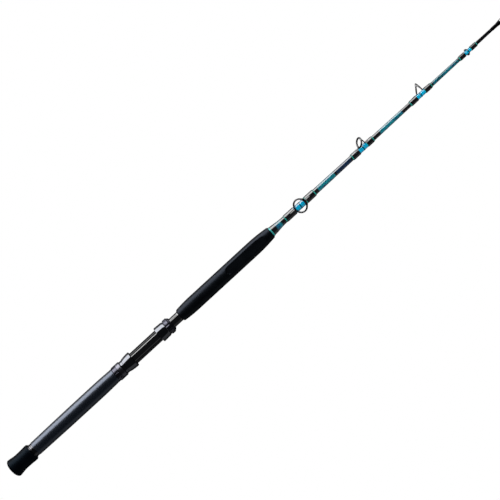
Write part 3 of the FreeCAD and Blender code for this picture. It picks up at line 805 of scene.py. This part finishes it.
cone0, cone1 = station("front_cone")
outline = arc((cone0, 10.2), (733.5, 9.85), (739.0, 9.2), 14)
outline += arc((739.0, 9.2), (749.0, 8.05), (cone1 - 0.5, 7.4), 20)[1:]
outline += [(cone1 - 0.15, 7.34), (cone1, 7.2)]
outline += [(cone1, blank_radius(cone1)), (cone0, blank_radius(cone0))]
turned("marbled_cone", outline, "rod", "front_cone")

# --- Line guides -----------------------------------------------------------------------
UNDER = 0.5           # heights of the thread above the blank
OVER = 1.45
TRIM = 1.1
TRIM_LONG = 2.0
BAND_HALF = 1.2
BAND_HIGH = 0.3
FOOT = 1.2            # height of a foot, and of its thin end
FOOT_END = 0.3
FOOT_INSIDE = 3.0     # from a wrap's outer end to the foot's thin end
TOE = 2.4             # the front foot starts this far behind its wrap
RIDGE_R = 2.9
RIDGE_TURN = 1.2      # radians each side of a foot that its ridge may reach
HOOP_WALL = 1.5
HOOP_HALF = 1.2
HOOP_POWER = 0.6      # how square the hoop's and the ring's sections are
RING_HALF = 1.6
RING_POWER = 0.75
LEGS_AT = (0.819, 0.574)     # where on the hoop the legs start: up and aside
LEG_RADII = (0.85, 1.25)
ANKLE_BACK = 1.9

# Hoop's centre, outer radius, lean and turn; middle of the dark band; the two wraps.
GUIDES = (
    (803.8, 16.3, 57.0, 2.0, 805.0, (764.6, 790.0), (821.6, 843.0)),
    (979.6, 11.6, 44.0, -52.5, 979.7, (951.0, 969.0), (991.0, 1006.0)),
    (1142.2, 11.3, 36.8, -105.0, 1140.2, (1113.0, 1130.5), (1152.5, 1168.0)),
    (1271.8, 7.7, 40.0, 180.0, 1272.0, (1249.4, 1263.4), (1279.8, 1293.5)),
)


def section(half_x, half_y, power, count=20):
    """Rounded outline between an ellipse (power 1) and a box (power 0)."""
    out = []
    for k in range(count):
        a = 2 * math.pi * (k + 0.5) / count
        c, n = math.cos(a), math.sin(a)
        out.append((half_x * math.copysign(abs(c) ** power, c),
                    half_y * math.copysign(abs(n) ** power, n)))
    return out


def leaned(lean):
    """Directions out of and along a hoop's axis when it leans towards the tip."""
    return Vector((math.sin(lean), 0, math.cos(lean))), Vector((math.cos(lean), 0, -math.sin(lean)))


def hoop_rows(centre, radius, wall, half, lean, turn, power, count=96):
    """Rows of a hoop leaned towards the tip."""
    up, ahead = leaned(lean)
    across = Vector((0, 1, 0))
    rows = []
    for i in range(count):
        a = 2 * math.pi * i / count
        out = up * math.cos(a) + across * math.sin(a)
        row = []
        for u, v in section(half, wall / 2, power):
            p = centre + out * (radius - wall / 2 + v) + ahead * u
            row.append(local(p.x, p.y, p.z, turn))
        rows.append(row)
    return rows


def bar_rows(path, radii, turn, count=18):
    """Rows of a round bar through the points of a path."""
    rows = []
    last = len(path) - 1
    for i, p in enumerate(path):
        along = (path[min(i + 1, last)] - path[max(i - 1, 0)]).normalized()
        one = along.cross(Vector((0, 1, 0))).normalized()
        two = along.cross(one)
        r = radii[0] + (radii[1] - radii[0]) * i / last
        row = []
        for k in range(count):
            a = 2 * math.pi * k / count
            q = p + (one * math.cos(a) + two * math.sin(a)) * r
            row.append(local(q.x, q.y, q.z, turn))
        rows.append(row)
    return rows


def curve(points, per=8):
    """Smooth path through points."""
    padded = [points[0] * 2 - points[1]] + points + [points[-1] * 2 - points[-2]]
    out = []
    for a, b, c, d in zip(padded, padded[1:], padded[2:], padded[3:]):
        for k in range(per):
            t = k / per
            out.append(0.5 * (2 * b + (c - a) * t + (2 * a - 5 * b + 4 * c - d) * t * t
                              + (3 * b - a - 3 * c + d) * t * t * t))
    return out + [points[-1]]


def foot_rows(sections, turn):
    """Rows of a flat foot; a section is (station, height, half width)."""
    rows = []
    for x, height, half in sections:
        low = blank_radius(x) + UNDER - 0.25
        high = height + 0.25
        middle = low + high / 2
        rows.append([local(x, u, middle + v, turn) for u, v in section(half, high / 2, HOOP_POWER)])
    return rows


def foot_height(x, thin, thick, neck=None):
    """Height of a foot that rises from its thin end to its thick end, then into its neck."""
    t = smooth((x - thin) / ((thick - thin) * 0.75))
    rise = 0.0
    if neck is not None:
        rise = 1.2 * smooth((x - neck + 2.6) / 2.6)
    return FOOT_END + (FOOT - FOOT_END) * t + rise


def sleeve(first, last, low, high, lead=0.8, tail=0.8):
    """Closed outline of thread around the blank with domed ends."""
    top = []
    for s in (steps(first, first + lead, lead / 6) + steps(first + lead, last - tail, 1.2)[1:-1]
              + steps(last - tail, last, tail / 6)):
        a = max(0.0, 1.0 - (s - first) / lead, 1.0 - (last - s) / tail)
        dome = 0.25 + 0.75 * math.sqrt(max(0.0, 1 - a * a))
        top.append((s, blank_radius(s) + low + (high - low) * dome))
    return top + [(s, blank_radius(s) + low - 0.02) for s in (last, first)]


def ridged(thin, thick, turn):
    """Shape function that lifts a wrap over the foot that lies under it."""
    turn = math.radians(turn)

    def shape(s, r, angle):
        base = blank_radius(s)
        if r < base + UNDER + 0.1:
            return r
        off = (angle - turn + math.pi) % (2 * math.pi) - math.pi
        if abs(off) > RIDGE_TURN:
            return r
        under = smooth((s - thin) / (1.5 if thick > thin else -1.5) + 0.6)
        lift = min(0.45, r - base - UNDER)
        top = base + UNDER + lift + foot_height(s, thin, thick) * under
        mid = top - RIDGE_R
        inside = RIDGE_R ** 2 - (mid * math.sin(off)) ** 2
        if inside <= 0:
            return r
        ridge = mid * math.cos(off) + math.sqrt(inside)
        gap = ridge - r
        return r + (gap + math.sqrt(gap * gap + 0.02)) / 2 - 0.02
    return shape


def foot(thin, thick, first, last, gap, neck=None):
    """Sections of a foot that widens and rises from its thin end."""
    return [(s, foot_height(s, thin, thick, neck), 0.8 + 0.7 * smooth(abs(s - thin) / 8))
            for s in steps(first, last, gap)]


def guide(number, x, r, lean, turn, band, butt_wrap, tip_wrap):
    lean = math.radians(lean)
    b0, b1 = butt_wrap
    t0, t1 = tip_wrap
    up, ahead = leaned(lean)
    low_x = x - r * up.x
    low_z = blank_radius(low_x) + UNDER + FOOT + 0.5
    centre = Vector((x, 0, low_z + r * up.z))
    name = "guide_%d_" % number
    heel = b0 + FOOT_INSIDE
    nose = t1 - FOOT_INSIDE

    wire = Shell().skin(hoop_rows(centre, r, HOOP_WALL, HOOP_HALF, lean, turn, HOOP_POWER), True)
    wire.skin(foot_rows(foot(heel, b1, heel, low_x + 1.2, 0.7, low_x), turn))
    wire.skin(foot_rows(foot(nose, t0, t0 - TOE, nose, 0.8), turn))
    on_blank = blank_radius(t0) + UNDER
    for side in (-1, 1):
        hip = (centre + up * (LEGS_AT[0] * (r - 0.5))
               + Vector((0, side * LEGS_AT[1] * (r - 0.5), 0)) + ahead * 0.8)
        ankle = Vector((t0 - ANKLE_BACK, side * 0.9, on_blank + 0.9))
        toe = Vector((t0 + 3.0, side * 0.5, on_blank + 0.2))
        knee = ankle.lerp(hip, 0.3) + Vector((0.25, -side * 0.35, -0.2)) * (r / 12)
        waist = ankle.lerp(hip, 0.72) + Vector((0.35, side * 0.25, 0.1)) * (r / 12)
        wire.skin(bar_rows(curve([hip, waist, knee, ankle, toe]), LEG_RADII, turn))
    wire.piece(name + "wire", "rod", name + "frame", 40.0)

    ring_r = r - HOOP_WALL
    wall = 2.1 if ring_r > 7 else 1.6
    ring = hoop_rows(centre, ring_r, wall, RING_HALF, lean, turn, RING_POWER, 120)
    Shell().skin(ring, True).piece(name + "insert", "rod", name + "ring", 50.0)

    turned(name + "under_thread", sleeve(b0, t1, 0.0, UNDER, 0.3, 0.3),
           "rod", name + "underwrap", 96)
    turned(name + "rear_thread", sleeve(b0, b1, UNDER, OVER, 1.1, 1.3),
           "rod", name + "butt_wrap", 180, ridged(heel, b1, turn), 45.0)
    turned(name + "front_thread", sleeve(t0, t1, UNDER, OVER, 1.3, 1.1),
           "rod", name + "tip_wrap", 180, ridged(nose, t0, turn), 45.0)
    trims = Shell().turned(sleeve(b0 - TRIM_LONG, b0, 0.0, TRIM, 1.1, 0.3), 96)
    wide = 2.6 if number == 1 else 0.9
    trims.turned(sleeve(t0 - wide, t0, UNDER, OVER - 0.15, wide / 4, 0.2), 96)
    trims.turned(sleeve(t1, t1 + TRIM_LONG, 0.0, TRIM, 0.3, 1.1), 96)
    trims.piece(name + "trim_thread", "rod", name + "trim", 45.0)
    turned(name + "band_thread",
           sleeve(band - BAND_HALF, band + BAND_HALF, UNDER, UNDER + BAND_HIGH, 0.25, 0.25),
           "rod", name + "band", 96)


for number, place in enumerate(GUIDES, 1):
    guide(number, *place)

# --- Tip-top ---------------------------------------------------------------------------
tube0, tube1 = station("tip_tube")
TUBE_R = reach("tip_tube")
TIP_LEAN = math.radians(14.0)
TIP_TURN = 180.0
TIP_R = 5.7
TIP_WALL = 1.2
TIP_HALF = 1.1
TIP_RING = (1.4, 1.5)     # wall and half width of the insert

tube_bore = blank_radius(tube1)
turned("tip_socket", rounded([
    (tube0, tube_bore + 0.15), (tube0, TUBE_R - 0.2, 0.1), (tube0 + 0.5, TUBE_R, 0.2),
    (tube1 - 0.4, TUBE_R, 0.3), (tube1, TUBE_R - 0.4, 0.2), (tube1, tube_bore)]),
    "rod", "tip_tube", 96)

tip = Vector((1370.5, 0, 8.8))
shell = Shell().skin(
    hoop_rows(tip, TIP_R, TIP_WALL, TIP_HALF, TIP_LEAN, TIP_TURN, HOOP_POWER), True)
stem = [Vector((tube1 - 8.0, 0, TUBE_R + 0.2)), Vector((tube1 - 2.0, 0, TUBE_R + 0.25)),
        tip - leaned(TIP_LEAN)[0] * (TIP_R - 0.5)]
shell.skin(bar_rows(curve(stem), (0.8, 0.7), TIP_TURN))
for side in (-1, 1):
    hip = tip + Vector((0, side * (TIP_R - 0.5), 0))
    root = Vector((tube1 - 14.0, side * 2.4, TUBE_R - 0.4))
    bend = root.lerp(hip, 0.5) + Vector((0.3, side * 0.2, -0.3))
    shell.skin(bar_rows(curve([root, bend, hip]), (0.75, 0.65), TIP_TURN))
shell.piece("tip_wire", "rod", "tip_frame", 40.0)
insert = hoop_rows(tip, TIP_R - TIP_WALL, *TIP_RING, TIP_LEAN, TIP_TURN, RING_POWER)
Shell().skin(insert, True).piece("tip_insert", "rod", "tip_ring", 50.0)

# --- End: update the view layer --------------------------------------------------------
bpy.context.view_layer.update()
